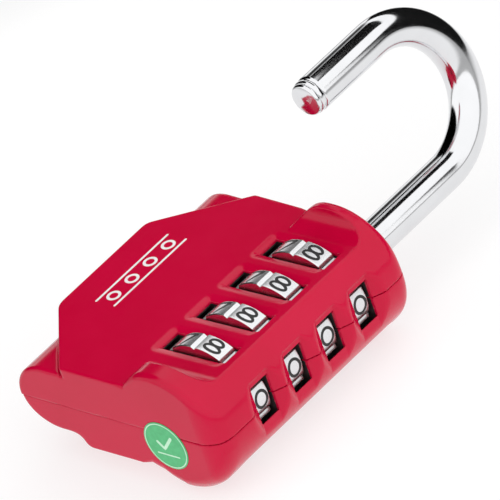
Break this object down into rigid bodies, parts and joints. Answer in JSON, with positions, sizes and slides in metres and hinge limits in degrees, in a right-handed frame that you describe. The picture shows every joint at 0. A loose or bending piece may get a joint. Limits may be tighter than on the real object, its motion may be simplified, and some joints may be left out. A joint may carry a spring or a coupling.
{
  "type": "combination padlock",
  "caption": "Flat-faced combination padlock with numbered dials along one rounded side and a lifting, swinging U-shaped shackle, shown open.",
  "frame": {"origin": "bottom centre of the whole open lock's box, on the surface that the lock lies on", "axes": "+X across the case towards the dial barrel, +Y from the bottom end of the case to the shackle bow, +Z from the back of the case to its front"},
  "size_m": [0.042, 0.0828, 0.0375],
  "materials": {
    "red_paint": "gloss",
    "chrome": "polished",
    "zinc": "as cast",
    "spring_steel": "satin",
    "brass": "turned",
    "green_sticker": "satin"
  },
  "bodies": {
    "housing": {"front_shell": "red_paint", "back_shell": "red_paint", "quality_sticker": "green_sticker", "case_pin_1": "zinc", "case_pin_2": "zinc", "case_pin_3": "zinc", "case_pin_4": "zinc", "dial_spacer_1": "brass", "dial_spacer_2": "brass", "dial_spacer_3": "brass", "end_washer": "brass", "leg_bush": "brass", "detent_spring": "spring_steel", "lift_spring": "spring_steel"},
    "shackle_carrier": {"spring_cap": "brass"},
    "shackle": {"shackle": "chrome"},
    "dial_1": {"dial_wheel_1": "chrome", "dial_sleeve_1": "zinc"},
    "dial_2": {"dial_wheel_2": "chrome", "dial_sleeve_2": "zinc"},
    "dial_3": {"dial_wheel_3": "chrome", "dial_sleeve_3": "zinc"},
    "dial_4": {"dial_wheel_4": "chrome", "dial_sleeve_4": "zinc"}
  },
  "joints": [
    {"name": "shackle_slide", "type": "slide", "parent": "housing", "child": "shackle_carrier", "axis": [0, 1, 0], "range_m": [-0.0096, 0], "stiffness_N_per_m": 300, "springref_m": 0.004, "deforming": ["lift_spring"]},
    {"name": "shackle_turn", "type": "hinge", "parent": "shackle_carrier", "child": "shackle", "pos_m": [0.01, 0, 0.011], "axis": [0, 1, 0], "continuous": true},
    {"name": "dial_turn_1", "type": "hinge", "parent": "housing", "child": "dial_1", "pos_m": [0.01, -0.0295, 0.011], "axis": [0, 1, 0], "continuous": true},
    {"name": "dial_turn_2", "type": "hinge", "parent": "housing", "child": "dial_2", "pos_m": [0.01, -0.0215, 0.011], "axis": [0, 1, 0], "continuous": true},
    {"name": "dial_turn_3", "type": "hinge", "parent": "housing", "child": "dial_3", "pos_m": [0.01, -0.0135, 0.011], "axis": [0, 1, 0], "continuous": true},
    {"name": "dial_turn_4", "type": "hinge", "parent": "housing", "child": "dial_4", "pos_m": [0.01, -0.0055, 0.011], "axis": [0, 1, 0], "continuous": true}
  ]
}
